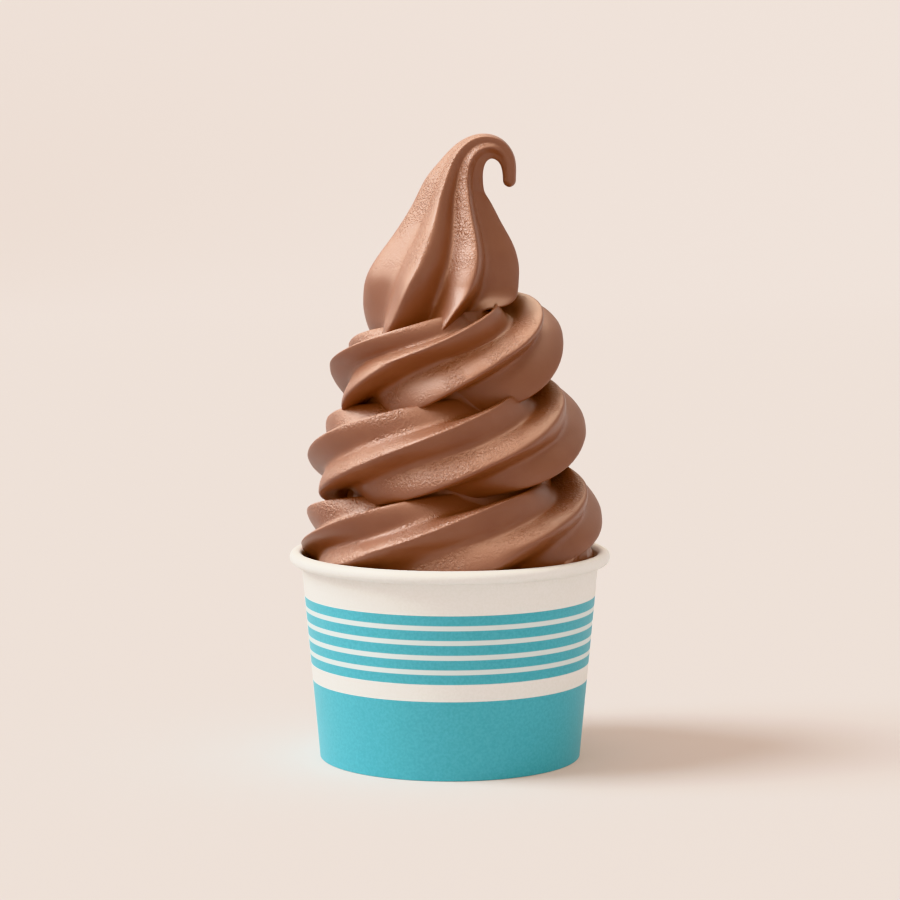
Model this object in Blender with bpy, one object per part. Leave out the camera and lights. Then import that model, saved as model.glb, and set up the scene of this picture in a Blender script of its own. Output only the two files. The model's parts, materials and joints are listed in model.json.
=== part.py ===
"""Soft serve piled high in a paper cup.

Frame: metres, +Z up, -Y is the front, origin on the cup's axis at the plane that the cup
stands on.  Three solids: the paper side wall with its rolled rim and hemmed foot, the
recessed paper bottom, and one body of soft serve that fills the cup, coils up in three
turns and ends in a bulb with a curled tip.

The rope of soft serve comes out of a six-point star nozzle that doesn't turn, so each
ridge keeps one compass bearing while the rope runs round: along the coil the ridges pass
from the underside over the outside to the top, once in every turn.
"""
import bpy
import bmesh
import numpy as np

# ---------------------------------------------------------------- paper cup
CUP_HEIGHT = 0.06245
RIM_RADIUS = 0.048              # outside of the rolled rim
FOOT_RADIUS = 0.0391            # outside of the wall at the foot
WALL_SLOPE = 0.0914             # gain in radius per metre of height
PAPER = 0.0006
BEAD_RADIUS = 0.00195           # section of the rolled rim
GAP = 0.0003                    # between pieces that touch
SKIRT_PAPER = 0.0005
HEM_HEIGHT = 0.0070             # inner fold of the wall, below the bottom
SKIRT_CLEARANCE = 0.0009        # skirt's lower edge above the ground
CUP_SEGMENTS = 64
BEAD_STEPS = 7                  # on each half of the bead's section
BEAD_START = 0.9                # the bead leaves the wall a little before it would meet it
PAPER_EDGES = np.radians(35.0)  # edges sharper than this are shaded crisp

# ---------------------------------------------------------------- soft serve rope
RIDGES = 6
RIDGE_STEPS = 6                 # mesh columns from one ridge to the next
CREST_ROUNDING = 0.12           # both as shares of a half ridge
VALLEY_ROUNDING = 0.36
ROPE_EDGES = np.radians(60.0)
MERGE_DISTANCE = 0.00002        # clears slivers left by the union

# ---------------------------------------------------------------- coil
# Turns are counted from the left side (-X) at the rim, anticlockwise seen from above.
COIL_START = -0.90
COIL_END = 2.92
RINGS_PER_TURN = 31.1           # no whole number, so no two turns' edges share a plane
TURN_RISE = 0.0270
RIM_TURN_HEIGHT = 0.0636        # centre of the rope at turn 0
COIL_TILT = 0.0024              # how far the turns sink on the right side, halved
# (turn, valley radius as a share of crest radius)
COIL_VALLEY = ((-0.9, 0.73), (1.2, 0.72), (1.9, 0.69), (2.3, 0.67), (2.92, 0.69))
# (turn, how far the ridges on top of the rope roll outwards, in radians)
RIDGE_ROLL = ((-0.9, 0.0), (-0.3, 0.0), (0.0, 0.50), (0.3, 0.0), (2.92, 0.0))
COIL_INSET = 0.0002             # the coil stays this much further in than the fill
ROPE_HALF_WIDTH = 0.0156
ROPE_HALF_HEIGHT = 0.0148
# (turn, height of the rope above its middle): the bulb presses the last turn flat
ROPE_TOP = ((1.6, ROPE_HALF_HEIGHT), (2.05, 0.0104), (2.4, 0.0130), (COIL_END, 0.0065))
# (turn, depth below the middle): the last turn sags onto the turn below it
ROPE_BELOW = ((1.4, ROPE_HALF_HEIGHT), (2.1, 0.0172), (2.6, 0.0172), (COIL_END, ROPE_HALF_HEIGHT))
# (turn, share of the full width) and (turn, sinking): the rope turns in under the bulb
ROPE_WIDTH_SHARE = ((2.4, 1.0), (COIL_END, 0.65))
TAIL_SINK = ((2.5, 0.0), (COIL_END, 0.0060))
# (turn, exponent of the section's outline above its middle)
TOP_SQUARENESS = ((-0.9, 2.3), (-0.35, 2.4), (-0.05, 3.6), (0.25, 2.6), (0.5, 2.6), (0.8, 2.2),
                  (1.0, 2.1), (2.0, 2.1), (2.5, 2.5), (2.92, 2.3))
BELOW_SQUARENESS = 3.0
# (turn, outermost reach of the rope from the axis)
REACH = ((-1.0, 0.0425), (-0.5, 0.0436), (0.0, 0.0446), (0.5, 0.0456), (1.0, 0.0426),
         (1.5, 0.0406), (2.0, 0.0357), (2.5, 0.0338), (2.75, 0.0285), (2.92, 0.0225))

# ---------------------------------------------------------------- bulb and curled tip
# (x, z, half width) where the rope's middle line changes, from the base to the tip
SPINE = ((-0.0030, 0.1200, 0.0170), (-0.0031, 0.1260, 0.0213), (-0.0027, 0.1312, 0.0227),
         (-0.0027, 0.1371, 0.0237), (-0.0024, 0.1431, 0.0234), (-0.0011, 0.1491, 0.0216),
         (0.0000, 0.1551, 0.0182), (0.0005, 0.1610, 0.0144), (0.0008, 0.1665, 0.0114),
         (0.0013, 0.1702, 0.0096), (0.0023, 0.1733, 0.0081), (0.0039, 0.1771, 0.0067),
         (0.0055, 0.1796, 0.0060), (0.0077, 0.1816, 0.0053), (0.0100, 0.1826, 0.0047),
         (0.0124, 0.1827, 0.0041), (0.0151, 0.1813, 0.0034), (0.0171, 0.1785, 0.0027),
         (0.0176, 0.1752, 0.0022), (0.0176, 0.1730, 0.0020), (0.0176, 0.1706, 0.0019))
SPINE_STEPS = 44
SPINE_SMOOTHING = 1             # steps to each side
ROUND_END = 0.0022              # length over which the curl's end closes
END_SHARE = 0.25                # what is left of its width there
# (share of the length, lean): level sections in the bulb, square to the middle line in the curl
LEAN = ((0.0, 0.0), (0.42, 0.0), (0.64, 1.0), (1.0, 1.0))
# (share of the length, valley radius): the ridges fade out along the curl
BULB_VALLEY = ((0.0, 0.70), (0.55, 0.72), (0.8, 0.82), (0.97, 0.97), (1.0, 1.0))
# (ridge, its bearing in degrees from the front towards the right): closest at the front
RIDGE_BEARINGS = ((-2, -160.0), (-1, -103.0), (0, -21.0), (1, 25.0), (2, 85.0), (3, 145.0),
                  (4, 200.0), (5, 257.0), (6, 339.0), (7, 385.0))
BASE_TWIST = np.radians(-17.0)  # the ridges trail back at the foot of the bulb
BASE_TWIST_TOP = 0.1490
BASE_TWIST_SPAN = 0.0185
BASE_TWIST_BEND = 1.8
TIP_TWIST = np.radians(-26.0)
# (share of the length, share of the tip's twist)
TIP_TWIST_SHARE = ((0.62, 0.0), (0.82, 0.85), (1.0, 1.0))
SOLVER_ROUNDS = 25              # enough for the columns along the ridges to settle
UNDERSIDE_RISE = 0.40           # the bulb's underside rises to the right ...
UNDERSIDE_TOP = 0.1430          # ... from below this height
UNDERSIDE_SPAN = 0.0150
UNDERSIDE_START = -0.004        # x where the rise sets in
UNDERSIDE_EASE = 0.006

# ---------------------------------------------------------------- inside the coil
# (height, radius) of the core that closes the space inside the turns
CORE = ((0.050, 0.0310), (0.070, 0.0320), (0.095, 0.0285), (0.112, 0.0240), (0.127, 0.0150))
CORE_SEGMENTS = 20

# ---------------------------------------------------------------- fill inside the cup
FILL_TOP = 0.0570               # at the wall
FILL_WAVE = 0.0009              # the top edge waves up and down by this ...
FILL_WAVES = 5                  # ... so often round the cup
FILL_WAVE_START = 0.6
FILL_WAVE_GROWTH = 4            # exponent with which the waves grow upwards
FILL_STEPS = 5
CROWN_SHARE = 0.86              # the level middle of the fill's top
CROWN_RISE = 0.0022

# ---------------------------------------------------------------- colours and roughness
WHITE_PAPER_COLOUR = (0.80, 0.78, 0.74)
WHITE_PAPER_ROUGHNESS = 0.55
BOTTOM_PAPER_COLOUR = (0.78, 0.76, 0.72)
BOTTOM_PAPER_ROUGHNESS = 0.60
CHOCOLATE_COLOUR = (0.30, 0.13, 0.08)
CHOCOLATE_ROUGHNESS = 0.42


def clear_scene():
    """Start from an empty file."""
    for item in list(bpy.data.objects):
        bpy.data.objects.remove(item, do_unlink=True)


def material(name, colour, roughness):
    """A Principled material of one colour, not metallic."""
    made = bpy.data.materials.new(name)
    made.use_nodes = True
    shader = made.node_tree.nodes["Principled BSDF"]
    shader.inputs["Base Color"].default_value = (*colour, 1.0)
    shader.inputs["Roughness"].default_value = roughness
    shader.inputs["Metallic"].default_value = 0.0
    made.diffuse_color = (*colour, 1.0)
    return made


def through(knots, where):
    """A smooth curve through (place, value) knots, without overshoot between them."""
    knots = np.array(knots, dtype=float)
    places, values = knots[:, 0], knots[:, 1]
    slopes = np.diff(values) / np.diff(places)
    before, after = slopes[:-1], slopes[1:]
    same_way = before * after > 0
    total = np.where(same_way, before + after, 1.0)
    inner = np.where(same_way, 2 * before * after / total, 0.0)
    tangents = np.concatenate([slopes[:1], inner, slopes[-1:]])
    where = np.clip(np.asarray(where, dtype=float), places[0], places[-1])
    span = np.clip(np.searchsorted(places, where, side="right") - 1, 0, len(places) - 2)
    width = places[span + 1] - places[span]
    t = (where - places[span]) / width
    return ((2 * t**3 - 3 * t**2 + 1) * values[span]
            + (t**3 - 2 * t**2 + t) * width * tangents[span]
            + (3 * t**2 - 2 * t**3) * values[span + 1]
            + (t**3 - t**2) * width * tangents[span + 1])


def ridge_share(angle, valley):
    """Radius of the star section, 1 on a crest and `valley` between crests.

    A crest lies at angle 0 and at each sixth of a turn; the flanks are nearly straight.
    """
    off_crest = np.abs((angle * RIDGES / (2 * np.pi) + 0.5) % 1.0 - 0.5) * 2
    rounded = np.sqrt(off_crest**2 + CREST_ROUNDING**2) - CREST_ROUNDING
    height = 1 - rounded / (np.sqrt(1 + CREST_ROUNDING**2) - CREST_ROUNDING)
    height = np.sqrt(height**2 + VALLEY_ROUNDING**2) - VALLEY_ROUNDING
    height /= np.sqrt(1 + VALLEY_ROUNDING**2) - VALLEY_ROUNDING
    return valley + (1 - valley) * height


def wall_radius(height):
    """Outside of the paper wall."""
    return FOOT_RADIUS + WALL_SLOPE * height


def kept_inside_cup(points):
    """Pull the coil's points in so that they clear the wall and the rolled rim."""
    gap = GAP + COIL_INSET
    radius = np.hypot(points[..., 0], points[..., 1])
    height = points[..., 2]
    limit = wall_radius(height) - PAPER - gap
    bead_height = CUP_HEIGHT - BEAD_RADIUS
    bead_reach = BEAD_RADIUS + gap
    beside_bead = np.clip(bead_reach**2 - (height - bead_height)**2, 0.0, None)
    inner_edge = RIM_RADIUS - BEAD_RADIUS - np.sqrt(beside_bead)
    limit = np.where(height > bead_height, inner_edge, np.minimum(limit, inner_edge))
    limit = np.where(height > bead_height + bead_reach, np.inf, limit)
    shrink = np.minimum(1.0, limit / radius)
    kept = points.copy()
    kept[..., 0] *= shrink
    kept[..., 1] *= shrink
    return kept


def coil_ring(turn, angles):
    """One section of the coil; angles run from outward towards up."""
    bearing = np.pi + 2 * np.pi * turn
    half_width = ROPE_HALF_WIDTH * through(ROPE_WIDTH_SHARE, turn)
    tilt = COIL_TILT * (1 - np.cos(2 * np.pi * turn))
    middle = RIM_TURN_HEIGHT + TURN_RISE * turn - tilt - through(TAIL_SINK, turn)
    across, up = np.cos(angles), np.sin(angles)
    power = np.where(up > 0, through(TOP_SQUARENESS, turn), BELOW_SQUARENESS)
    outline = (np.abs(across)**power + np.abs(up)**power)**(-1 / power)
    roll = through(RIDGE_ROLL, turn) * np.clip(up, 0.0, None)
    star = outline * ridge_share(angles - bearing + np.pi + roll, through(COIL_VALLEY, turn))
    reach = np.where(up > 0, through(ROPE_TOP, turn), through(ROPE_BELOW, turn))
    radius = through(REACH, turn) - half_width + half_width * star * across
    height = middle + reach * star * up
    return np.stack([radius * np.cos(bearing), radius * np.sin(bearing), height], axis=-1)


def rope_columns():
    """Angles of the mesh columns round the rope; one of them runs along each crest."""
    return 2 * np.pi * np.arange(RIDGES * RIDGE_STEPS) / (RIDGES * RIDGE_STEPS)


def coil_rings():
    """All sections of the coil; mesh columns follow the ridges."""
    count = round((COIL_END - COIL_START) * RINGS_PER_TURN) + 1
    rings = []
    for turn in np.linspace(COIL_START, COIL_END, count):
        along_ridges = rope_columns() + 2 * np.pi * turn
        angles = along_ridges
        for _ in range(SOLVER_ROUNDS):
            angles = along_ridges - through(RIDGE_ROLL, turn) * np.clip(np.sin(angles), 0.0, None)
        rings.append(coil_ring(turn, angles))
    return kept_inside_cup(np.array(rings))


def bulb_line(places, along):
    """The smoothed middle line at the given shares of its length: x, z and half width."""
    weights = np.ones(2 * SPINE_SMOOTHING + 1)
    weights /= weights.sum()
    line = []
    for column in np.array(SPINE).T:
        exact = through(np.stack([along, column], axis=1), places)
        before = 2 * exact[0] - exact[SPINE_SMOOTHING:0:-1]
        after = 2 * exact[-1] - exact[-2:-SPINE_SMOOTHING - 2:-1]
        line.append(np.convolve(np.concatenate([before, exact, after]), weights, mode="valid"))
    return np.array(line)


def bulb_rings():
    """Sections of the bulb and its curled tip."""
    lengths = np.linalg.norm(np.diff(np.array(SPINE)[:, :2], axis=0), axis=1)
    along = np.concatenate([[0.0], np.cumsum(lengths)]) / lengths.sum()
    places = np.linspace(0.0, 1.0, SPINE_STEPS + 1)
    line = bulb_line(places, along)
    to_end = lengths.sum() * (1.0 - places)
    closing = np.clip(1.0 - to_end / ROUND_END, 0.0, 1.0)
    line[2] *= np.sqrt(1.0 - (1.0 - END_SHARE**2) * closing**2)
    runs = np.gradient(line[:2], axis=1)
    leans = np.arctan2(runs[0], runs[1]) * through(LEAN, places)

    from_front = through(RIDGE_BEARINGS, rope_columns() * RIDGES / (2 * np.pi))
    bearings = np.radians(from_front - 90.0)
    tip_twists = TIP_TWIST * through(TIP_TWIST_SHARE, places)
    valleys = through(BULB_VALLEY, places)
    rings = []
    for x, z, half_width, lean, tip_twist, valley in zip(*line, leans, tip_twists, valleys):
        in_bulb = lean == 0.0
        below = in_bulb * max(BASE_TWIST_TOP - z, 0.0) / BASE_TWIST_SPAN
        angle = bearings + BASE_TWIST * below**BASE_TWIST_BEND + tip_twist
        star = half_width * ridge_share(rope_columns(), valley)
        side, depth = star * np.cos(angle), star * np.sin(angle)
        rings.append(np.stack([x + side * np.cos(lean), depth, z - side * np.sin(lean)], axis=-1))
    rings = np.array(rings)

    beyond = rings[..., 0] - UNDERSIDE_START
    beyond = (beyond + np.sqrt(beyond**2 + UNDERSIDE_EASE**2)) / 2
    low = np.clip((UNDERSIDE_TOP - rings[..., 2]) / UNDERSIDE_SPAN, 0.0, 1.0)
    rings[:SPINE_STEPS // 2, :, 2] += (UNDERSIDE_RISE * beyond * low**2 * (3 - 2 * low))[:SPINE_STEPS // 2]
    return rings


def fill_rings():
    """The soft serve below the coil, as a stack of level rings inside the wall."""
    around = 2 * np.pi * np.arange(CUP_SEGMENTS) / CUP_SEGMENTS
    floor = HEM_HEIGHT + GAP + SKIRT_PAPER + GAP
    rings = []
    for step in range(FILL_STEPS + 1):
        share = step / FILL_STEPS
        wave = FILL_WAVE * share**FILL_WAVE_GROWTH * np.sin(FILL_WAVES * around + FILL_WAVE_START)
        height = floor + (FILL_TOP - floor) * share + wave
        radius = wall_radius(height) - PAPER - GAP
        rings.append(np.stack([radius * np.cos(around), radius * np.sin(around), height], axis=-1))
    rings.append(rings[-1] * np.array([CROWN_SHARE, CROWN_SHARE, 1.0]) + np.array([0.0, 0.0, CROWN_RISE]))
    return np.array(rings)


def core_rings():
    """A plain turned core inside the coil."""
    around = 2 * np.pi * np.arange(CORE_SEGMENTS) / CORE_SEGMENTS
    return np.array([np.stack([radius * np.cos(around), radius * np.sin(around),
                               np.full(CORE_SEGMENTS, height)], axis=-1)
                     for height, radius in CORE])


def tube(name, rings, collection):
    """A closed body from stacked rings of points, capped at both ends."""
    count, columns = rings.shape[:2]
    shape = bmesh.new()
    verts = [[shape.verts.new(point) for point in ring] for ring in rings]
    for ring in range(count - 1):
        for column in range(columns):
            after = (column + 1) % columns
            shape.faces.new((verts[ring][column], verts[ring][after],
                             verts[ring + 1][after], verts[ring + 1][column]))
    shape.faces.new(list(reversed(verts[0])))
    shape.faces.new(verts[-1])
    bmesh.ops.triangulate(shape, faces=shape.faces[:])
    bmesh.ops.recalc_face_normals(shape, faces=shape.faces[:])
    mesh = bpy.data.meshes.new(name)
    shape.to_mesh(mesh)
    shape.free()
    body = bpy.data.objects.new(name, mesh)
    collection.objects.link(body)
    return body


def keep_outer_skin(shape):
    """Delete the skins of sealed hollows, which makes them solid."""
    unseen = set(shape.faces)
    skins = []
    while unseen:
        skin = [unseen.pop()]
        for face in skin:
            for edge in face.edges:
                for other in edge.link_faces:
                    if other in unseen:
                        unseen.remove(other)
                        skin.append(other)
        skins.append(skin)
    skins.sort(key=len)
    for skin in skins[:-1]:
        bmesh.ops.delete(shape, geom=skin, context="FACES")


def join_into(body, collection):
    """Union a collection's objects into the body, then remove them."""
    union = body.modifiers.new("union", "BOOLEAN")
    union.operation = "UNION"
    union.operand_type = "COLLECTION"
    union.collection = collection
    union.solver = "EXACT"
    union.use_self = True
    depsgraph = bpy.context.evaluated_depsgraph_get()
    joined = bpy.data.meshes.new_from_object(body.evaluated_get(depsgraph))
    body.modifiers.clear()
    body.data = joined
    shape = bmesh.new()
    shape.from_mesh(joined)
    keep_outer_skin(shape)
    bmesh.ops.remove_doubles(shape, verts=shape.verts[:], dist=MERGE_DISTANCE)
    bmesh.ops.dissolve_degenerate(shape, edges=shape.edges[:], dist=MERGE_DISTANCE)
    bmesh.ops.triangulate(shape, faces=shape.faces[:])
    shape.to_mesh(joined)
    shape.free()
    for item in list(collection.objects):
        bpy.data.objects.remove(item, do_unlink=True)
    bpy.data.collections.remove(collection)


def make_soft_serve():
    """Fill, coil and bulb, joined into one body."""
    scene_collection = bpy.context.scene.collection
    pieces = bpy.data.collections.new("rope_pieces")
    scene_collection.children.link(pieces)
    body = tube("soft_serve", fill_rings(), scene_collection)
    tube("core", core_rings(), pieces)
    tube("coil", coil_rings(), pieces)
    tube("bulb", bulb_rings(), pieces)
    join_into(body, pieces)
    return body


def turned(name, profile):
    """A body turned from a closed profile of (radius, height) points."""
    shape = bmesh.new()
    rings = []
    for segment in range(CUP_SEGMENTS):
        bearing = 2 * np.pi * segment / CUP_SEGMENTS
        ring = []
        for radius, height in profile:
            ring.append(shape.verts.new((radius * np.cos(bearing), radius * np.sin(bearing), height)))
        rings.append(ring)
    count = len(profile)
    for segment in range(CUP_SEGMENTS):
        here, there = rings[segment], rings[(segment + 1) % CUP_SEGMENTS]
        for point in range(count):
            after = (point + 1) % count
            shape.faces.new((here[point], there[point], there[after], here[after]))
    bmesh.ops.recalc_face_normals(shape, faces=shape.faces[:])
    mesh = bpy.data.meshes.new(name)
    shape.to_mesh(mesh)
    shape.free()
    body = bpy.data.objects.new(name, mesh)
    bpy.context.scene.collection.objects.link(body)
    return body


def make_cup_wall():
    """Side wall: hem folded inwards at the foot, bead rolled outwards at the rim."""
    slot = GAP + SKIRT_PAPER + GAP
    bead_middle = RIM_RADIUS - BEAD_RADIUS
    bead_height = CUP_HEIGHT - BEAD_RADIUS
    wall_meets_bead = np.arccos((bead_middle - wall_radius(bead_height)) / BEAD_RADIUS)
    profile = [(wall_radius(0.0), 0.0)]
    under_bead = np.linspace(-np.pi + wall_meets_bead * BEAD_START, 0.0, BEAD_STEPS)
    over_bead = np.linspace(0.0, np.pi, BEAD_STEPS)
    for angle in np.concatenate([under_bead, over_bead[1:]]):
        profile.append((bead_middle + BEAD_RADIUS * np.cos(angle),
                        bead_height + BEAD_RADIUS * np.sin(angle)))
    inner = -PAPER
    profile.append((wall_radius(bead_height - BEAD_RADIUS) + inner, bead_height - BEAD_RADIUS))
    profile.append((wall_radius(PAPER) + inner, PAPER))
    profile.append((wall_radius(PAPER) + inner - slot, PAPER))
    profile.append((wall_radius(HEM_HEIGHT) + inner - slot, HEM_HEIGHT))
    profile.append((wall_radius(HEM_HEIGHT) + inner - slot - PAPER, HEM_HEIGHT))
    profile.append((wall_radius(0.0) + inner - slot - PAPER, 0.0))
    return turned("cup_wall", profile)


def make_cup_bottom():
    """Recessed disc with a skirt that stands in the hem."""
    skirt_outside = PAPER + GAP
    skirt_inside = skirt_outside + SKIRT_PAPER
    under = HEM_HEIGHT + GAP
    top = under + SKIRT_PAPER
    rings = [(wall_radius(top) - skirt_outside, top),
             (wall_radius(SKIRT_CLEARANCE) - skirt_outside, SKIRT_CLEARANCE),
             (wall_radius(SKIRT_CLEARANCE) - skirt_inside, SKIRT_CLEARANCE),
             (wall_radius(under) - skirt_inside, under)]
    around = 2 * np.pi * np.arange(CUP_SEGMENTS) / CUP_SEGMENTS
    stack = [np.stack([radius * np.cos(around), radius * np.sin(around),
                       np.full(CUP_SEGMENTS, height)], axis=-1) for radius, height in rings]
    return tube("cup_bottom", np.array(stack), bpy.context.scene.collection)


def finish(body, look, edge_angle):
    """Give a body its material and smooth shading with crisp edges."""
    body.data.materials.clear()
    body.data.materials.append(look)
    body.data.shade_smooth()
    body.data.set_sharp_from_angle(angle=edge_angle)


def main():
    clear_scene()
    white_paper = material("white_paper", WHITE_PAPER_COLOUR, WHITE_PAPER_ROUGHNESS)
    bottom_paper = material("bottom_paper", BOTTOM_PAPER_COLOUR, BOTTOM_PAPER_ROUGHNESS)
    chocolate = material("chocolate_soft_serve", CHOCOLATE_COLOUR, CHOCOLATE_ROUGHNESS)
    finish(make_cup_wall(), white_paper, PAPER_EDGES)
    finish(make_cup_bottom(), bottom_paper, PAPER_EDGES)
    finish(make_soft_serve(), chocolate, ROPE_EDGES)


main()
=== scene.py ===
"""Looks of the soft serve cup: chocolate soft serve, paper cup, studio and camera.

Metres, +Z up, -Y is the front, origin on the cup's axis at the plane that it stands on.
"""
import json
import math

import bmesh
import bpy
import numpy as np
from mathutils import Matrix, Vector

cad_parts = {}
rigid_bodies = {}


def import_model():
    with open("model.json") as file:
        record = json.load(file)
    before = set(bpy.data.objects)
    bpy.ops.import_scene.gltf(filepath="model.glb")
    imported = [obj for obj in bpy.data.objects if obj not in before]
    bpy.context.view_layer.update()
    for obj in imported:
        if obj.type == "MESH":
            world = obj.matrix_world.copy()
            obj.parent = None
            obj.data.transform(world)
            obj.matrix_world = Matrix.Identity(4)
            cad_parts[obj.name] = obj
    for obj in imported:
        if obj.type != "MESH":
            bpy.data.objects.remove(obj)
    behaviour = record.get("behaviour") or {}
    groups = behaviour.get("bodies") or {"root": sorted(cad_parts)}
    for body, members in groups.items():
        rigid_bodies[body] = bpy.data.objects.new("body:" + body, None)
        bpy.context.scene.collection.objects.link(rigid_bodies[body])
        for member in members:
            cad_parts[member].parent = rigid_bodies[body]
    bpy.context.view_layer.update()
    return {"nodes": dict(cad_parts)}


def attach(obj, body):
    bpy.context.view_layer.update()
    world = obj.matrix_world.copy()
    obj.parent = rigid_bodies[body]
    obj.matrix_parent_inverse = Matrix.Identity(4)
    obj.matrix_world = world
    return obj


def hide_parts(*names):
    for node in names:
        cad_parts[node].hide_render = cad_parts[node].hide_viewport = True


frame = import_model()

# ---------------------------------------------------------------- paper cup
CUP_HEIGHT = 0.06245
RIM_RADIUS = 0.048              # outside of the rolled rim
FOOT_RADIUS = 0.0391            # outside of the wall at the foot
WALL_SLOPE = 0.0914             # gain in radius per metre of height
PAPER = 0.0006
PAPER_CHAMFER = 0.0002          # at the foot's edges
BEAD_RADIUS = 0.00195           # section of the rolled rim
BEAD_START = 0.9                # where its arc sets in, as a share of the angle to the wall
GAP = 0.0003
SKIRT_PAPER = 0.0005
HEM_HEIGHT = 0.0070
SEAM_BEARING = math.radians(68.0)       # the wall's glued side seam stands at the back
SEAM_WIDTH = math.radians(16.0)         # the outer layer fades into the wall over this angle
SEAM_EDGE = math.radians(0.25)
SEAM_STEP = 0.00022             # the overlap stands this proud
CUP_SEGMENTS = 288
OUTER_POINTS = 80               # profile points on the outside, half of them round the bead
INNER_POINTS = 12
OUTER_POINTS_TOP = 0.0560       # height of the last outside point below the bead
SHARP_PAPER = math.radians(40.0)        # folds sharper than this show an edge

# ---------------------------------------------------------------- soft serve rope
RIDGES = 6
RIDGE_STEPS = 20                # mesh columns from one ridge to the next
STEPS_NEAR_CREST = 1.6          # exponent that crowds the columns at the crests
CREST_ROUNDING = 0.08           # as a share of a half ridge
VALLEY_ROUNDING = 0.36          # as a share of the ridge's height
# (size of the swells, height as a share of the rope's radius, seed)
UNEVENNESS = ((0.0130, 0.014, 11), (0.0050, 0.005, 12))
SHARP_ROPE = math.radians(50.0)

# ---------------------------------------------------------------- coil
# Turns are counted from the left side (-X) at the rim, anticlockwise seen from above.
COIL_START = -0.90
COIL_END = 2.92
# The coil is made in lengths under a turn long, so that none meets itself, joined at the back.
COIL_JOINS = (-0.09, 0.84, 1.77, 2.70)
# (turn, scale) of the narrower sections that run on into the length beyond each join
PLUG = ((0.012, 0.93), (0.030, 0.80))
JOIN_INSET = 0.9985             # scale of a length's first section, just inside the one it joins
RINGS_PER_TURN = 130
TURN_RISE = 0.0270
RIM_TURN_HEIGHT = 0.0636        # centre of the rope at turn 0
COIL_TILT = 0.0024              # how far the turns sink on the right side, halved
# (turn, how far the rope's end sinks under the bulb)
COIL_SINK = ((2.5, 0.0), (COIL_END, -0.0060))
# (turn, outermost reach of the rope from the axis)
REACH = ((-1.0, 0.0425), (-0.5, 0.0436), (0.0, 0.0446), (0.5, 0.0456), (1.0, 0.0426),
         (1.5, 0.0406), (2.0, 0.0357), (2.5, 0.0338), (2.75, 0.0285), (2.92, 0.0225))
ROPE_HALF_WIDTH = 0.0156
ROPE_HALF_HEIGHT = 0.0148
# (turn, share of the half width): the rope thins as it turns in under the bulb
WIDTH_SHARE = ((2.4, 1.0), (COIL_END, 0.65))
# (turn, height above the rope's middle): low at a gap on the right, and under the bulb
TOP_HEIGHT = ((0.3, ROPE_HALF_HEIGHT), (0.44, 0.0138), (0.6, ROPE_HALF_HEIGHT),
              (1.6, ROPE_HALF_HEIGHT), (2.05, 0.0104), (2.4, 0.0130), (2.65, 0.0120),
              (COIL_END, 0.0065))
# (turn, depth below the rope's middle): a gap on the right, and the last turn sags
BELOW_DEPTH = ((1.25, ROPE_HALF_HEIGHT), (1.45, 0.0126), (1.65, ROPE_HALF_HEIGHT), (2.1, 0.0172),
               (2.6, 0.0172), (COIL_END, ROPE_HALF_HEIGHT))
# (turn, exponent of the section's outline) above and below the middle
TOP_SQUARENESS = ((-0.9, 2.3), (-0.35, 2.4), (-0.05, 3.6), (0.25, 2.6), (0.5, 2.6), (0.8, 2.2),
                  (1.0, 2.1), (1.6, 2.1), (2.0, 1.9), (2.5, 2.5), (2.92, 2.3))
BELOW_SQUARENESS = ((-0.9, 3.0), (0.25, 3.0), (0.43, 1.9), (0.6, 3.0), (1.3, 3.0), (1.5, 4.2),
                    (1.7, 3.0), (2.3, 3.0), (2.5, 4.2), (2.7, 3.0), (2.92, 3.0))
# (turn, valley radius as a share of crest radius)
COIL_VALLEY = ((-0.9, 0.71), (1.2, 0.69), (1.9, 0.65), (2.3, 0.58), (2.6, 0.52), (2.92, 0.56))
# (turn, how far the ridges above and below the rope's middle roll, in radians)
RIDGE_ROLL = ((-0.9, 0.0), (-0.3, 0.0), (0.0, 0.50), (0.3, 0.0), (1.2, 0.0), (1.45, -0.22),
              (1.7, 0.0), (2.2, 0.0), (2.45, -0.30), (2.7, 0.0), (2.92, 0.0))
LOW_RIDGE_ROLL = ((-0.9, 0.0), (0.1, 0.0), (0.28, 0.40), (0.45, 0.0), (0.8, 0.0), (1.0, -0.14),
                  (1.2, 0.0), (1.8, 0.0), (2.0, -0.11), (2.2, 0.0), (2.92, 0.0))
ROLL_ROUNDS = 25                # rounds that solve for the columns along the rolled ridges

# ---------------------------------------------------------------- bulb and curled tip
# (x, z, half width) where the rope's middle line changes, from the base to the tip
SPINE = ((-0.0042, 0.1200, 0.0200), (-0.0041, 0.1260, 0.0232), (-0.0038, 0.1312, 0.0240),
         (-0.0034, 0.1371, 0.0239), (-0.0027, 0.1431, 0.0234), (-0.0011, 0.1491, 0.0216),
         (0.0000, 0.1551, 0.0182), (0.0005, 0.1610, 0.0144), (0.0008, 0.1665, 0.0114),
         (0.0013, 0.1702, 0.0096), (0.0023, 0.1733, 0.0081), (0.0039, 0.1771, 0.0067),
         (0.0055, 0.1796, 0.0060), (0.0077, 0.1816, 0.0053), (0.0100, 0.1826, 0.0047),
         (0.0124, 0.1827, 0.0041), (0.0151, 0.1813, 0.0034), (0.0171, 0.1785, 0.0027),
         (0.0176, 0.1752, 0.0022), (0.0176, 0.1730, 0.0020), (0.0176, 0.1706, 0.0019))
SPINE_STEPS = 220
SPINE_SMOOTHING = 9             # steps to each side
SMOOTHING_FALL = 2.0            # the weights fall to exp of minus this at the last of them
ROUND_END = 0.0020              # length over which the curl's end closes ...
ROUND_END_SHARE = 0.98          # ... up to this share of it, which leaves a small cap
# (share of the length, how far the sections stand square to the middle line, from lying level)
SQUARE_SHARE = ((0.0, 0.0), (0.42, 0.0), (0.64, 1.0), (1.0, 1.0))
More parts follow.
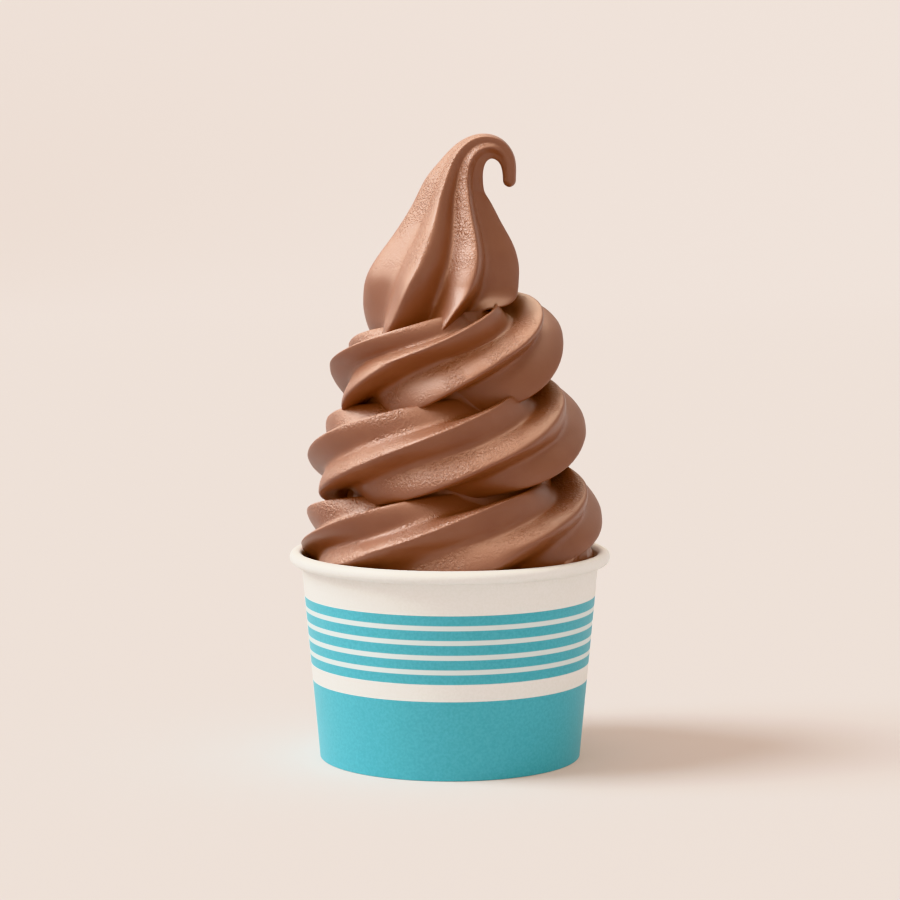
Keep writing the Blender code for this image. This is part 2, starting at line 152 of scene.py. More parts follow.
# (share of the length, valley radius as a share of crest radius): the ridges fade along the curl
BULB_VALLEY = ((0.0, 0.67), (0.55, 0.70), (0.8, 0.80), (0.97, 0.97), (1.0, 1.0))
# (ridge, its bearing in degrees from the front towards the right): closest at the front
RIDGE_BEARINGS = ((-2, -160.0), (-1, -103.0), (0, -21.0), (1, 25.0), (2, 85.0), (3, 145.0),
                  (4, 200.0), (5, 257.0), (6, 339.0), (7, 385.0))
FRONT_DEGREES = -90.0           # bearing of the front from +X
BASE_TWIST = math.radians(-14.0)        # the ridges trail back at the foot of the bulb
BASE_TWIST_TOP = 0.1490
BASE_TWIST_SPAN = 0.0185
BASE_TWIST_BEND = 1.8
TIP_TWIST = math.radians(-26.0)
# (share of the length, share of the tip's twist)
TIP_TWIST_SHARE = ((0.62, 0.0), (0.82, 0.85), (1.0, 1.0))
UNDERSIDE_RISE = 0.0150         # the bulb's underside is lifted on the right ...
UNDERSIDE_TOP = 0.1420          # ... from below this height
UNDERSIDE_START = -0.0110       # x where the lift sets in
UNDERSIDE_FULL = 0.0120         # x from where it is full
UNDERSIDE_BEND = 1.25

# ---------------------------------------------------------------- inside
# (height, radius) of the turned core inside the coil
CORE = ((0.050, 0.0310), (0.070, 0.0320), (0.095, 0.0285), (0.112, 0.0240), (0.127, 0.0180),
        (0.1345, 0.0155))
CORE_SEGMENTS = 48
FILL_TOP = 0.0570               # at the wall
FILL_SEGMENTS = 240
FILL_WALL_RINGS = 9
FILL_STEPS = 40                 # from the wall inwards
FILL_INWARD = 0.30              # share of the radius that they cover
FILL_DOME = 0.0016
# (size of the lumps, height, seed)
FILL_LUMPS = ((0.0022, 0.0009, 5), (0.0060, 0.0014, 6))
FILL_LUMPS_FROM_WALL = 4        # steps inwards over which they rise
CRUMBS_BEARING = math.radians(-21.0)    # crumbs lie inside the rim at the front right
CRUMBS_SPREAD = math.radians(22.0)
CRUMBS_HEIGHT = 0.0074
CRUMB_LUMPS = (0.0017, 0.0016, 7)       # size, height, seed

# ---------------------------------------------------------------- noise
# Whole numbers that scramble a cell's place and seed.
CELL_FACTORS = (73856093, 19349663, 83492791)
SEED_FACTOR = 2654435761
SCRAMBLE_FACTOR = 1103515245
SCRAMBLE_STEP = 12345
SCRAMBLE_SHIFT = 13
LAST_FACTOR = 1274126177
LOW_BITS = 0x7FFFFFFF

# ---------------------------------------------------------------- looks
# Noise scales are in cells per metre. Each pair of colours is mixed by a noise.
NOISE_MIDDLE = (0.3, 0.7)       # most of a noise's values lie between these
CHOCOLATE_COLOURS = ((0.226, 0.092, 0.055, 1.0), (0.256, 0.109, 0.066, 1.0))
CHOCOLATE_BLOTCHES = {"scale": 60.0, "detail": 3.0, "roughness": 0.55}
CHOCOLATE_GRAIN = {"scale": 1100.0}
GRAIN_BUMP = {"Strength": 0.12, "Distance": 0.0002}
CHOCOLATE_SURFACE = {"Roughness": 0.40, "Specular IOR Level": 0.70, "Subsurface Weight": 0.06,
                     "Subsurface Radius": (1.0, 0.45, 0.25), "Subsurface Scale": 0.0015}
WRINKLES = {"scale": 1350.0, "distortion": 0.6}
WRINKLE_BUMP = {"Strength": 1.0, "Distance": 0.00045}
WRINKLED_SIDE = (-0.62, -0.42, 0.66)    # the wrinkles show on the sides that face this way ...
WRINKLES_SET_IN = (0.48, 0.82)          # ... from the first dot product to the second ...
PATCHES = {"scale": 90.0, "detail": 1.0}
PATCH_EDGES = (0.35, 0.60)              # ... in patches, between these noise values
BETWEEN_PATCHES = 0.25                  # what is left of the wrinkles between them
BELLY_START = (0.130, 0.134)            # heights where the bulb's smooth belly sets in ...
BELLY_END = (0.144, 0.153)              # ... and ends
BELLY_SMOOTHNESS = 0.9
# (bottom, top) of each printed band
TEAL_BANDS = ((0.04614, 0.04909), (0.04181, 0.04470), (0.03746, 0.04038),
              (0.03313, 0.03599), (0.02880, 0.03168), (-0.01, 0.02372))
BAND_EDGE = 0.00008
SEAM_LINE = 1.5                 # the ink is cut off at the seam, out to this many edge widths
TINTED_ZONE = (0.0311, 0.0463)  # the white stripes between the bands are a little cooler
TINTED_EDGE = 0.0001
# 0-255 display values
CUP_WHITES = ((231, 232, 229), (235, 236, 234))
TINTED_WHITE = (214, 228, 229)
CUP_TEALS = ((48, 168, 187), (62, 178, 197))
CUP_MOTTLE = {"scale": 1300.0, "roughness": 0.6}
CUP_FIBRES = {"scale": 1900.0, "roughness": 0.6}
CUP_BUMP = {"Strength": 0.10, "Distance": 0.0002}
CUP_SURFACE = {"Roughness": 0.48, "Specular IOR Level": 1.0}
BOTTOM_WHITES = ((224, 219, 208), (233, 229, 219))
BOTTOM_MOTTLE = {"scale": 350.0, "detail": 4.0, "roughness": 0.65}
BOTTOM_FIBRES = {"scale": 1200.0, "detail": 4.0, "roughness": 0.7}
BOTTOM_BUMP = {"Strength": 0.22, "Distance": 0.0003}
BOTTOM_SURFACE = {"Roughness": 0.62}
FLOOR_SURFACE = {"Roughness": 0.9, "Specular IOR Level": 0.0, "Emission Strength": 1.0}

# ---------------------------------------------------------------- studio
FLOOR_RADII = (0.3, 0.8, 1.5, 2.2)      # of the level part
FLOOR_CURVE = 0.6               # radius of the curve up to the raised edge
FLOOR_CURVE_STEPS = 16
FLOOR_EDGE_HEIGHT = 0.9
FLOOR_SEGMENTS = 96
FLOOR_LEVELNESS = 3.0           # exponent that parts the level floor from its raised edge
FLOOR_COLOUR = (0.531, 0.559, 0.575, 1.0)
FLOOR_GLOW = (0.227, 0.102, 0.045, 1.0)
EDGE_COLOUR = (0.12, 0.12, 0.12, 1.0)
EDGE_GLOW = (0.875, 0.765, 0.70, 1.0)
WORLD_COLOUR = (0.80, 0.70, 0.625, 1.0)
# (name, strength, colour, degrees from the front towards the left, degrees up, degrees across,
# seen in the gloss only)
LAMPS = (("key", 2.7, (0.93, 0.99, 1.0), 82.0, 49.0, 30.0, False),
         ("glow", 10.0, (1.0, 0.78, 0.56), 92.0, 64.0, 108.0, True),
         ("gloss", 1.1, (0.84, 0.98, 1.0), 104.0, 30.0, 54.0, True))
CAMERA_PLACE = (0.0, -0.892, 0.187)
CAMERA_PITCH_DEGREES = 6.059    # looks down by
CAMERA_LENS = 120.05            # millimetres, as is the sensor's width
SENSOR_WIDTH = 36.0


# ================================================================ curves and noise
def through(knots, where):
    """A smooth curve through (place, value) knots, without overshoot between them."""
    knots = np.array(knots, dtype=float)
    places, values = knots[:, 0], knots[:, 1]
    slopes = np.diff(values) / np.diff(places)
    before, after = slopes[:-1], slopes[1:]
    same_way = before * after > 0
    total = np.where(same_way, before + after, 1.0)
    inner = np.where(same_way, 2 * before * after / total, 0.0)
    tangents = np.concatenate([slopes[:1], inner, slopes[-1:]])
    where = np.clip(np.asarray(where, dtype=float), places[0], places[-1])
    span = np.clip(np.searchsorted(places, where, side="right") - 1, 0, len(places) - 2)
    width = places[span + 1] - places[span]
    t = (where - places[span]) / width
    return ((2 * t**3 - 3 * t**2 + 1) * values[span]
            + (t**3 - 2 * t**2 + t) * width * tangents[span]
            + (3 * t**2 - 2 * t**3) * values[span + 1]
            + (t**3 - t**2) * width * tangents[span + 1])


def eased(share):
    """From 0 to 1 with a soft start and end."""
    return share**2 * (3 - 2 * share)


def cell_value(cell, seed):
    """A scrambled value from -1 to 1 for each whole-numbered cell."""
    mixed = np.bitwise_xor.reduce(cell * np.array(CELL_FACTORS), axis=-1) ^ (seed * SEED_FACTOR)
    mixed = (mixed * SCRAMBLE_FACTOR + SCRAMBLE_STEP) & LOW_BITS
    mixed = ((mixed ^ (mixed >> SCRAMBLE_SHIFT)) * LAST_FACTOR) & LOW_BITS
    return mixed / (LOW_BITS // 2) - 1.0


def smooth_noise(points, size, seed):
    """Value noise from -1 to 1 with blobs about `size` across."""
    cell = points / size
    corner = np.floor(cell).astype(np.int64)
    share = eased(cell - corner)
    total = np.zeros(points.shape[:-1])
    for step in np.ndindex(2, 2, 2):
        weight = np.prod(np.where(step, share, 1 - share), axis=-1)
        total += weight * cell_value(corner + np.array(step), seed)
    return total


def circle(segments):
    """Evenly spaced angles round a full circle."""
    return 2 * np.pi * np.arange(segments) / segments


# ================================================================ soft serve
def ridge_share(angle, valley):
    """Radius of the star section, 1 on a crest and `valley` between crests."""
    off_crest = np.abs((angle * RIDGES / (2 * np.pi) + 0.5) % 1.0 - 0.5) * 2
    rounded = np.sqrt(off_crest**2 + CREST_ROUNDING**2) - CREST_ROUNDING
    height = 1 - rounded / (np.sqrt(1 + CREST_ROUNDING**2) - CREST_ROUNDING)
    height = np.sqrt(height**2 + VALLEY_ROUNDING**2) - VALLEY_ROUNDING
    height /= np.sqrt(1 + VALLEY_ROUNDING**2) - VALLEY_ROUNDING
    return valley + (1 - valley) * height


def rope_columns():
    """Angles of the mesh columns round the rope, crowded at the crests."""
    step = np.linspace(-1.0, 1.0, RIDGE_STEPS, endpoint=False)
    off_crest = np.sign(step) * np.abs(step)**STEPS_NEAR_CREST
    return np.concatenate([(ridge + off_crest / 2) * 2 * np.pi / RIDGES for ridge in range(RIDGES)])


def wall_radius(height):
    """Outside of the paper wall."""
    return FOOT_RADIUS + WALL_SLOPE * height


def kept_inside_cup(points):
    """Pull the coil's points in so that they clear the wall and the rolled rim."""
    radius = np.hypot(points[..., 0], points[..., 1])
    height = points[..., 2]
    limit = wall_radius(height) - PAPER - GAP
    bead_height = CUP_HEIGHT - BEAD_RADIUS
    bead_reach = BEAD_RADIUS + GAP
    beside_bead = np.clip(bead_reach**2 - (height - bead_height)**2, 0.0, None)
    inner_edge = RIM_RADIUS - BEAD_RADIUS - np.sqrt(beside_bead)
    limit = np.where(height > bead_height, inner_edge, np.minimum(limit, inner_edge))
    limit = np.where(height > bead_height + bead_reach, np.inf, limit)
    shrink = np.minimum(1.0, limit / np.maximum(radius, GAP))
    kept = points.copy()
    kept[..., :2] *= shrink[..., None]
    return kept


def ridge_roll(turn, up):
    """How far the star section is rolled, by how far up a point stands on it."""
    return (through(RIDGE_ROLL, turn) * np.clip(up, 0.0, None)
            + through(LOW_RIDGE_ROLL, turn) * np.clip(-up, 0.0, None))


def coil_ring(turn, angles):
    """One section of the coil; angles run from outward towards up."""
    bearing = np.pi + 2 * np.pi * turn
    half_width = ROPE_HALF_WIDTH * through(WIDTH_SHARE, turn)
    middle = (RIM_TURN_HEIGHT + TURN_RISE * turn - COIL_TILT * (1 - np.cos(2 * np.pi * turn))
              + through(COIL_SINK, turn))
    across, up = np.cos(angles), np.sin(angles)
    power = np.where(up > 0, through(TOP_SQUARENESS, turn), through(BELOW_SQUARENESS, turn))
    outline = (np.abs(across)**power + np.abs(up)**power)**(-1 / power)
    rolled = angles - bearing + np.pi + ridge_roll(turn, up)
    star = outline * ridge_share(rolled, through(COIL_VALLEY, turn))
    radius = through(REACH, turn) - half_width + half_width * star * across
    half_height = np.where(up > 0, through(TOP_HEIGHT, turn), through(BELOW_DEPTH, turn))
    height = middle + half_height * star * up
    return np.stack([radius * np.cos(bearing), radius * np.sin(bearing), height], axis=-1)


def scaled(rings, scale):
    """Sections made wider or narrower about their own middles."""
    middle = rings.mean(axis=1, keepdims=True)
    return middle + (rings - middle) * scale


def uneven(rings):
    """Swell and pinch the sections a little, as in hand-drawn soft serve."""
    swell = 1.0
    for size, share, seed in UNEVENNESS:
        swell = swell + share * smooth_noise(rings, size, seed)[..., None]
    return scaled(rings, swell)


def coil_rings(start, end):
    """Sections of one length of the coil; mesh columns follow the ridges."""
    count = round((end - start) * RINGS_PER_TURN) + 1
    rings = []
    for turn in np.linspace(start, end, count):
        along_ridges = rope_columns() + 2 * np.pi * turn
        angles = along_ridges
        for _ in range(ROLL_ROUNDS):
            angles = along_ridges - ridge_roll(turn, np.sin(angles))
        rings.append(coil_ring(turn, angles))
    return kept_inside_cup(uneven(np.array(rings)))


def joined(start, end):
    """One length of the coil, run on into its neighbours with narrower sections."""
    rings = coil_rings(start, end)
    before, after = [], []
    if start > COIL_START:
        rings[:1] = scaled(rings[:1], JOIN_INSET)
        before = [scaled(coil_rings(start - turn, start)[:1], scale) for turn, scale in reversed(PLUG)]
    if end < COIL_END:
        after = [scaled(coil_rings(end, end + turn)[-1:], scale) for turn, scale in PLUG]
    return np.concatenate(before + [rings] + after)


def bulb_line():
    """Even steps along the bulb and tip: their share of the length, and x, z and half width."""
    spine = np.array(SPINE)
    lengths = np.hypot(*np.diff(spine[:, :2], axis=0).T)
    along = np.concatenate([[0.0], np.cumsum(lengths)])
    along /= along[-1]
    places = np.linspace(0.0, 1.0, SPINE_STEPS + 1)
    reach = np.arange(-SPINE_SMOOTHING, SPINE_SMOOTHING + 1)
    weights = np.exp(-SMOOTHING_FALL * (reach / SPINE_SMOOTHING)**2)
    weights /= weights.sum()
    line = []
    for values in spine.T:
        exact = through(np.stack([along, values], axis=1), places)
        before = 2 * exact[0] - exact[SPINE_SMOOTHING:0:-1]
        after = 2 * exact[-1] - exact[-2:-SPINE_SMOOTHING - 2:-1]
        line.append(np.convolve(np.concatenate([before, exact, after]), weights, mode="valid"))
    line = np.array(line)
    left = lengths.sum() * (1.0 - places)
    line[2] *= np.sqrt(1.0 - np.clip(1.0 - left / ROUND_END, 0.0, ROUND_END_SHARE)**2)
    return places, line


def bulb_rings():
    """Sections of the bulb and its curled tip, level at first, then square to the middle line."""
    places, line = bulb_line()
    runs = np.gradient(line[:2], axis=1)
    lean = np.arctan2(runs[0], runs[1]) * through(SQUARE_SHARE, places)
    lower_half = SPINE_STEPS // 2

    columns = rope_columns()
    bearings = np.radians(through(RIDGE_BEARINGS, columns * RIDGES / (2 * np.pi)) + FRONT_DEGREES)
    rings = []
    for step, (place, x, z, half_width, tilt) in enumerate(zip(places, *line, lean)):
        below = max(BASE_TWIST_TOP - z, 0.0) / BASE_TWIST_SPAN if step < lower_half else 0.0
        twist = BASE_TWIST * below**BASE_TWIST_BEND + TIP_TWIST * through(TIP_TWIST_SHARE, place)
        star = half_width * ridge_share(columns, through(BULB_VALLEY, place))
        side, depth = star * np.cos(bearings + twist), star * np.sin(bearings + twist)
        rings.append(np.stack([x + side * math.cos(tilt), depth, z - side * math.sin(tilt)], axis=-1))
    rings = uneven(np.array(rings))
    lower = rings[:lower_half]
    beyond = (lower[..., 0] - UNDERSIDE_START) / (UNDERSIDE_FULL - UNDERSIDE_START)
    low = (UNDERSIDE_TOP - lower[..., 2]) / (UNDERSIDE_TOP - SPINE[0][1])
    lower[..., 2] += (UNDERSIDE_RISE * eased(np.clip(beyond, 0.0, 1.0))
                      * np.clip(low, 0.0, 1.0)**UNDERSIDE_BEND)
    return rings


def fill_rings():
    """The soft serve below the coil: smooth against the wall, crumbly on top."""
    around = circle(FILL_SEGMENTS)
    floor = HEM_HEIGHT + GAP + SKIRT_PAPER + GAP
    rings = []
    for height in floor + (FILL_TOP - floor) * np.linspace(0.0, 1.0, FILL_WALL_RINGS):
        radius = wall_radius(height) - PAPER - GAP
        rings.append(np.stack([radius * np.cos(around), radius * np.sin(around),
                               np.full(FILL_SEGMENTS, height)], axis=-1))
    off_heap = (around - CRUMBS_BEARING + np.pi) % (2 * np.pi) - np.pi
    heap = np.exp(-(off_heap / CRUMBS_SPREAD)**2)
    size, lumps, seed = CRUMB_LUMPS
    edge = rings[-1]
    for step in range(1, FILL_STEPS + 1):
        inward = 1 - FILL_INWARD * step / FILL_STEPS
        ring = edge * np.array([inward, inward, 1.0])
        rough = sum(height * smooth_noise(ring, across, number) for across, height, number in FILL_LUMPS)
        crumbs = CRUMBS_HEIGHT + lumps * smooth_noise(ring, size, seed)
        ring[:, 2] += min(step / FILL_LUMPS_FROM_WALL, 1.0) * rough + heap * crumbs
        ring[:, 2] += FILL_DOME * math.sin(math.pi * min(step / FILL_STEPS, 0.5))
        rings.append(ring)
    return np.array(rings)


def core_rings():
    """A plain turned core inside the coil."""
    around = circle(CORE_SEGMENTS)
    return np.array([np.stack([radius * np.cos(around), radius * np.sin(around),
                               np.full(CORE_SEGMENTS, height)], axis=-1)
                     for height, radius in CORE])


# ================================================================ mesh helpers
def tube(name, rings, collection):
    """A closed body from stacked rings of points, capped at both ends."""
    count, columns = rings.shape[:2]
    shape = bmesh.new()
    verts = [[shape.verts.new(point) for point in ring] for ring in rings]
    for ring in range(count - 1):
        for column in range(columns):
            after = (column + 1) % columns
            shape.faces.new((verts[ring][column], verts[ring][after],
                             verts[ring + 1][after], verts[ring + 1][column]))
    shape.faces.new(list(reversed(verts[0])))
    shape.faces.new(verts[-1])
    bmesh.ops.triangulate(shape, faces=shape.faces[:])
    bmesh.ops.recalc_face_normals(shape, faces=shape.faces[:])
    return linked(name, shape, collection)


def linked(name, shape, collection):
    """An object made from a bmesh, which is freed."""
    mesh = bpy.data.meshes.new(name)
    shape.to_mesh(mesh)
    shape.free()
    body = bpy.data.objects.new(name, mesh)
    collection.objects.link(body)
    return body


def dress(body, look, sharp):
    """Give a body its material and smooth shading, with edges sharper than an angle kept."""
    body.data.materials.clear()
    body.data.materials.append(look)
    body.data.shade_smooth()
    body.data.set_sharp_from_angle(angle=sharp)


def keep_outer_skin(shape):
    """Delete the skins of sealed hollows, which makes them solid."""
    unseen = set(shape.faces)
    skins = []
    while unseen:
        skin = [unseen.pop()]
        for face in skin:
            for edge in face.edges:
                for other in edge.link_faces:
                    if other in unseen:
                        unseen.remove(other)
                        skin.append(other)
        skins.append(skin)
    skins.sort(key=len)
    for skin in skins[:-1]:
        bmesh.ops.delete(shape, geom=skin, context="FACES")


def join_into(body, collection):
    """Union a collection's objects into the body, then remove them."""
    union = body.modifiers.new("union", "BOOLEAN")
    union.operation = "UNION"
    union.operand_type = "COLLECTION"
    union.collection = collection
    union.solver = "MANIFOLD"
    depsgraph = bpy.context.evaluated_depsgraph_get()
    mesh = bpy.data.meshes.new_from_object(body.evaluated_get(depsgraph))
    body.modifiers.clear()
    body.data = mesh
    shape = bmesh.new()
    shape.from_mesh(mesh)
    keep_outer_skin(shape)
    bmesh.ops.triangulate(shape, faces=shape.faces[:])
    shape.to_mesh(mesh)
    shape.free()
    for item in list(collection.objects):
        bpy.data.objects.remove(item, do_unlink=True)
    bpy.data.collections.remove(collection)


def make_soft_serve(look):
    """Fill, coil and bulb as one fine mesh."""
    scene_collection = bpy.context.scene.collection
    pieces = bpy.data.collections.new("rope_pieces")
    scene_collection.children.link(pieces)
    body = tube("soft_serve_swirl", bulb_rings(), scene_collection)
    tube("fill", fill_rings(), pieces)
    tube("core", core_rings(), pieces)
    for start, end in zip((COIL_START, *COIL_JOINS), (*COIL_JOINS, COIL_END)):
        tube("coil", joined(start, end), pieces)
    join_into(body, pieces)
    dress(body, look, SHARP_ROPE)
    return body


# ================================================================ materials
class Shader:
    """A Principled material that is built up node by node."""

    def __init__(self, name):
        self.material = bpy.data.materials.new(name)
        self.material.use_nodes = True
        self.nodes = self.material.node_tree.nodes
        self.links = self.material.node_tree.links

    def plug_in(self, socket, value):
        """Link another node's output, or set a plain value."""
        if isinstance(value, bpy.types.NodeSocket):
            self.links.new(value, socket)
        else:
            socket.default_value = value

    def node(self, kind, inputs=(), **settings):
        made = self.nodes.new(kind)
        for key, value in settings.items():
            setattr(made, key, value)
        for name, value in dict(inputs).items():
            self.plug_in(made.inputs[name], value)
        return made

    def place(self):
        return self.node("ShaderNodeTexCoord").outputs["Object"]

    def parts(self, vector):
        return self.node("ShaderNodeSeparateXYZ", {"Vector": vector}).outputs

    def math(self, operation, first, second=0.0):
        return self.node("ShaderNodeMath", {0: first, 1: second}, operation=operation).outputs[0]

    def span(self, value, low, high, to_low=0.0, to_high=1.0):
        """Eases from one value to another between two places."""
        return self.node("ShaderNodeMapRange",
                         {"Value": value, "From Min": low, "From Max": high,
                          "To Min": to_low, "To Max": to_high},
                         interpolation_type="SMOOTHSTEP").outputs["Result"]

    def within(self, value, low, high, edge):
        """1 between two places and 0 beyond them, with soft edges."""
        return self.math("MULTIPLY", self.span(value, low - edge, low + edge),
                         self.span(value, high - edge, high + edge, 1.0, 0.0))

    def noise(self, vector, scale, detail=2.0, roughness=0.5, distortion=0.0):
        return self.node("ShaderNodeTexNoise",
                         {"Vector": vector, "Scale": scale, "Detail": detail,
                          "Roughness": roughness, "Distortion": distortion}).outputs["Fac"]

    def mix(self, share, first, second):
        """Mixes two colours, which are the node's sockets 6 and 7."""
        return self.node("ShaderNodeMix", {0: share, 6: first, 7: second}, data_type="RGBA").outputs[2]

    def bump(self, height, depth, **below):
        """Bumps by height and depth, on top of another bump's normal where one is given."""
        return self.node("ShaderNodeBump", {"Height": height, **depth, **below}).outputs["Normal"]

    def finished(self, surface, **links):
        """The material, with plain surface values and links such as Base_Color."""
        main = self.nodes["Principled BSDF"].inputs
        for name, value in {**surface, **links}.items():
            self.plug_in(main[name.replace("_", " ")], value)
        return self.material


def rgb(display_values):
    """Linear colour from 0-255 display values, by the sRGB curve."""
    share = np.array(display_values) / 255.0
    linear = np.where(share <= 0.04045, share / 12.92, ((share + 0.055) / 1.055)**2.4)
    return (*linear.tolist(), 1.0)


def chocolate_look():
    """Milk chocolate soft serve: satin, slightly milky, with fine icy wrinkles in patches."""
    look = Shader("chocolate_soft_serve_look")
    place = look.place()
    blotches = look.span(look.noise(place, **CHOCOLATE_BLOTCHES), *NOISE_MIDDLE)
    colour = look.mix(blotches, *CHOCOLATE_COLOURS)

    facing = look.node("ShaderNodeNewGeometry").outputs["Normal"]
    towards = look.node("ShaderNodeVectorMath", {0: facing, 1: WRINKLED_SIDE},
                        operation="DOT_PRODUCT").outputs["Value"]
    height = look.parts(place)["Z"]
    belly = look.math("MULTIPLY", look.span(height, *BELLY_START),
                      look.span(height, *BELLY_END, BELLY_SMOOTHNESS, 0.0))
    patches = look.span(look.noise(place, **PATCHES), *PATCH_EDGES, BETWEEN_PATCHES, 1.0)
    patches = look.math("MULTIPLY", look.span(towards, *WRINKLES_SET_IN), patches)
    patches = look.math("MULTIPLY", patches, look.math("SUBTRACT", 1.0, belly))
    wrinkles = look.math("MULTIPLY", look.noise(place, **WRINKLES), patches)
    normal = look.bump(wrinkles, WRINKLE_BUMP)
    normal = look.bump(look.noise(place, **CHOCOLATE_GRAIN), GRAIN_BUMP, Normal=normal)
    return look.finished(CHOCOLATE_SURFACE, Base_Color=colour, Normal=normal)


def printed_paper_look():
    """Coated white paper with printed teal bands, by height."""
    look = Shader("printed_cup_paper_look")
    place = look.place()
    parts = look.parts(place)
    height = parts["Z"]
    mottle = look.span(look.noise(place, **CUP_MOTTLE), *NOISE_MIDDLE)
    white = look.mix(mottle, *map(rgb, CUP_WHITES))
    white = look.mix(look.within(height, *TINTED_ZONE, TINTED_EDGE), white, rgb(TINTED_WHITE))
    teal = look.mix(mottle, *map(rgb, CUP_TEALS))

    bands = [look.within(height, *band, BAND_EDGE) for band in TEAL_BANDS]
    ink = bands[0]
    for band in bands[1:]:
        ink = look.math("MAXIMUM", ink, band)
    bearing = look.math("ARCTAN2", parts["Y"], parts["X"])
    off_seam = look.math("ABSOLUTE", look.math("SUBTRACT", bearing, SEAM_BEARING - SEAM_EDGE))
    ink = look.math("MULTIPLY", ink, look.span(off_seam, SEAM_EDGE, SEAM_LINE * SEAM_EDGE))

    fibres = look.bump(look.noise(place, **CUP_FIBRES), CUP_BUMP)
    return look.finished(CUP_SURFACE, Base_Color=look.mix(ink, white, teal), Normal=fibres)


def plain_paper_look():
    """Uncoated white board of the recessed bottom."""
    look = Shader("cup_bottom_paper_look")
    place = look.place()
    mottle = look.span(look.noise(place, **BOTTOM_MOTTLE), *NOISE_MIDDLE)
    board = look.mix(mottle, *map(rgb, BOTTOM_WHITES))
    fibres = look.bump(look.noise(place, **BOTTOM_FIBRES), BOTTOM_BUMP)
    return look.finished(BOTTOM_SURFACE, Base_Color=board, Normal=fibres)


def floor_look():
    """The plain pale floor; its raised edge glows so that it looks as bright."""
    look = Shader("pale_floor_look")
    upward = look.parts(look.node("ShaderNodeNewGeometry").outputs["Normal"])["Z"]
    level = look.math("POWER", look.math("ABSOLUTE", upward), FLOOR_LEVELNESS)
    return look.finished(FLOOR_SURFACE, Base_Color=look.mix(level, EDGE_COLOUR, FLOOR_COLOUR),
                         Emission_Color=look.mix(level, EDGE_GLOW, FLOOR_GLOW))


# ================================================================ paper cup
def cup_profile():
    """(radius, height) round the wall's section: outside, rolled rim, inside, hem and foot."""
    bead_middle = RIM_RADIUS - BEAD_RADIUS
    bead_height = CUP_HEIGHT - BEAD_RADIUS
    wall_meets_bead = math.acos((bead_middle - wall_radius(bead_height)) / BEAD_RADIUS)
    profile = [(wall_radius(height), height)
               for height in np.linspace(PAPER_CHAMFER, OUTER_POINTS_TOP, OUTER_POINTS // 2)]
    profile += [(bead_middle + BEAD_RADIUS * np.cos(angle), bead_height + BEAD_RADIUS * np.sin(angle))
                for angle in np.linspace(-np.pi + wall_meets_bead * BEAD_START, np.pi, OUTER_POINTS // 2)]
    profile += [(wall_radius(height) - PAPER, height)
                for height in np.linspace(bead_height - BEAD_RADIUS, PAPER, INNER_POINTS)]
    slot = GAP + SKIRT_PAPER + GAP
    hem_outside = wall_radius(HEM_HEIGHT) - PAPER - slot
    hem_foot = wall_radius(0.0) - PAPER - slot - PAPER
    profile += [(wall_radius(PAPER) - PAPER - slot, PAPER),
                (hem_outside, HEM_HEIGHT),
                (hem_outside - PAPER, HEM_HEIGHT),
                (hem_foot, PAPER_CHAMFER),
                (hem_foot + PAPER_CHAMFER, 0.0),
                (wall_radius(0.0) - PAPER_CHAMFER, 0.0)]
    return np.array(profile)


def make_cup_wall(look):
    """Side wall with rolled rim, folded hem and glued side seam."""
    profile = cup_profile()
    count = len(profile)
    outside = np.arange(count) < OUTER_POINTS
    bearings = np.sort(np.append(circle(CUP_SEGMENTS), [SEAM_BEARING - SEAM_EDGE, SEAM_BEARING]))
    shape = bmesh.new()
    rings = []
    for bearing in bearings:
        past_edge = (bearing - SEAM_BEARING) / SEAM_WIDTH
        proud = SEAM_STEP * (1 - past_edge)**2 if 0 <= past_edge < 1 else 0.0
        radii = profile[:, 0] + proud * outside
        rings.append([shape.verts.new((radius * np.cos(bearing), radius * np.sin(bearing), height))
                      for radius, height in zip(radii, profile[:, 1])])
    for here, there in zip(rings, rings[1:] + rings[:1]):
        for point in range(count):
            after = (point + 1) % count
            shape.faces.new((here[point], there[point], there[after], here[after]))
    bmesh.ops.recalc_face_normals(shape, faces=shape.faces[:])
    body = linked("paper_cup_wall", shape, bpy.context.scene.collection)
    dress(body, look, SHARP_PAPER)
    return body


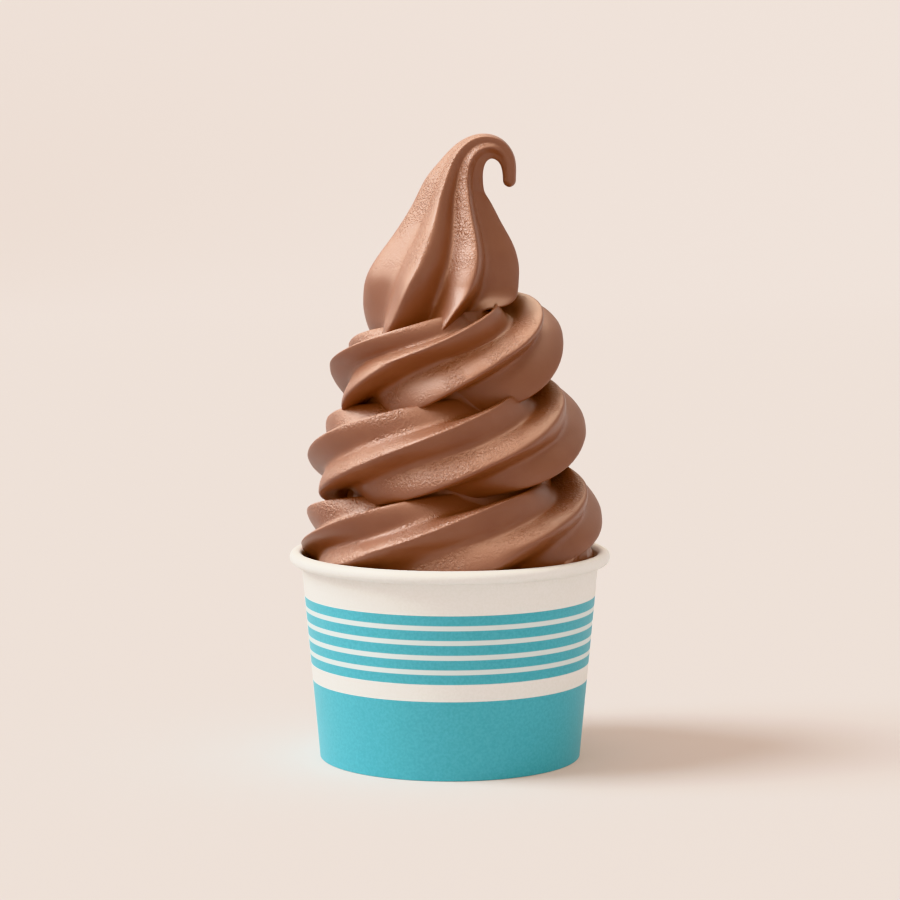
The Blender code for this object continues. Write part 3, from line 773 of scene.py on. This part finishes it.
# ================================================================ studio
def make_floor(look):
    """Pale round floor whose far edge curves up."""
    level_radius = FLOOR_RADII[-1]
    profile = [(radius, 0.0) for radius in FLOOR_RADII]
    for angle in np.linspace(0.0, np.pi / 2, FLOOR_CURVE_STEPS + 1)[1:]:
        profile.append((level_radius + FLOOR_CURVE * math.sin(angle),
                        FLOOR_CURVE * (1 - math.cos(angle))))
    profile.append((level_radius + FLOOR_CURVE, FLOOR_EDGE_HEIGHT))
    shape = bmesh.new()
    middle = shape.verts.new((0.0, 0.0, 0.0))
    rings = [[shape.verts.new((radius * math.cos(bearing), radius * math.sin(bearing), height))
              for bearing in circle(FLOOR_SEGMENTS)] for radius, height in profile]
    for step in range(FLOOR_SEGMENTS):
        after = (step + 1) % FLOOR_SEGMENTS
        shape.faces.new((middle, rings[0][step], rings[0][after]))
        for inner, outer in zip(rings[:-1], rings[1:]):
            shape.faces.new((inner[step], outer[step], outer[after], inner[after]))
    floor = linked("floor", shape, bpy.context.scene.collection)
    floor.data.materials.append(look)
    floor.data.shade_smooth()


def make_lamp(name, strength, colour, azimuth, elevation, across, gloss_only):
    """A wide soft light from far off; its angles are in degrees."""
    azimuth, elevation = math.radians(azimuth), math.radians(elevation)
    light = bpy.data.lights.new(name, "SUN")
    light.energy = strength
    light.angle = math.radians(across)
    light.color = colour
    lamp = bpy.data.objects.new(name, light)
    towards = Vector((-math.sin(azimuth) * math.cos(elevation),
                      -math.cos(azimuth) * math.cos(elevation),
                      math.sin(elevation)))
    lamp.location = towards
    lamp.rotation_euler = towards.to_track_quat("Z", "Y").to_euler()
    lamp.visible_diffuse = not gloss_only
    bpy.context.scene.collection.objects.link(lamp)


def make_studio():
    """Floor, even surroundings and lamps."""
    scene = bpy.context.scene
    make_floor(floor_look())
    world = bpy.data.worlds.new("studio")
    world.use_nodes = True
    background = world.node_tree.nodes["Background"]
    background.inputs["Color"].default_value = WORLD_COLOUR
    background.inputs["Strength"].default_value = 1.0
    scene.world = world
    for lamp in LAMPS:
        make_lamp(*lamp)
    scene.view_settings.view_transform = "Khronos PBR Neutral"


def make_camera():
    """The camera in front, looking down a little."""
    scene = bpy.context.scene
    camera = bpy.data.cameras.new("camera")
    camera.lens = CAMERA_LENS
    camera.sensor_width = SENSOR_WIDTH
    holder = bpy.data.objects.new("camera", camera)
    holder.location = CAMERA_PLACE
    holder.rotation_euler = (math.radians(90.0 - CAMERA_PITCH_DEGREES), 0.0, 0.0)
    scene.collection.objects.link(holder)
    scene.camera = holder


# ================================================================ assembly
def main():
    make_studio()
    make_camera()

    swirl = make_soft_serve(chocolate_look())
    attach(swirl, "root")
    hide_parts("soft_serve")

    wall = make_cup_wall(printed_paper_look())
    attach(wall, "root")
    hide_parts("cup_wall")

    bottom = frame["nodes"]["cup_bottom"]
    bottom.data.materials.clear()
    bottom.data.materials.append(plain_paper_look())


main()
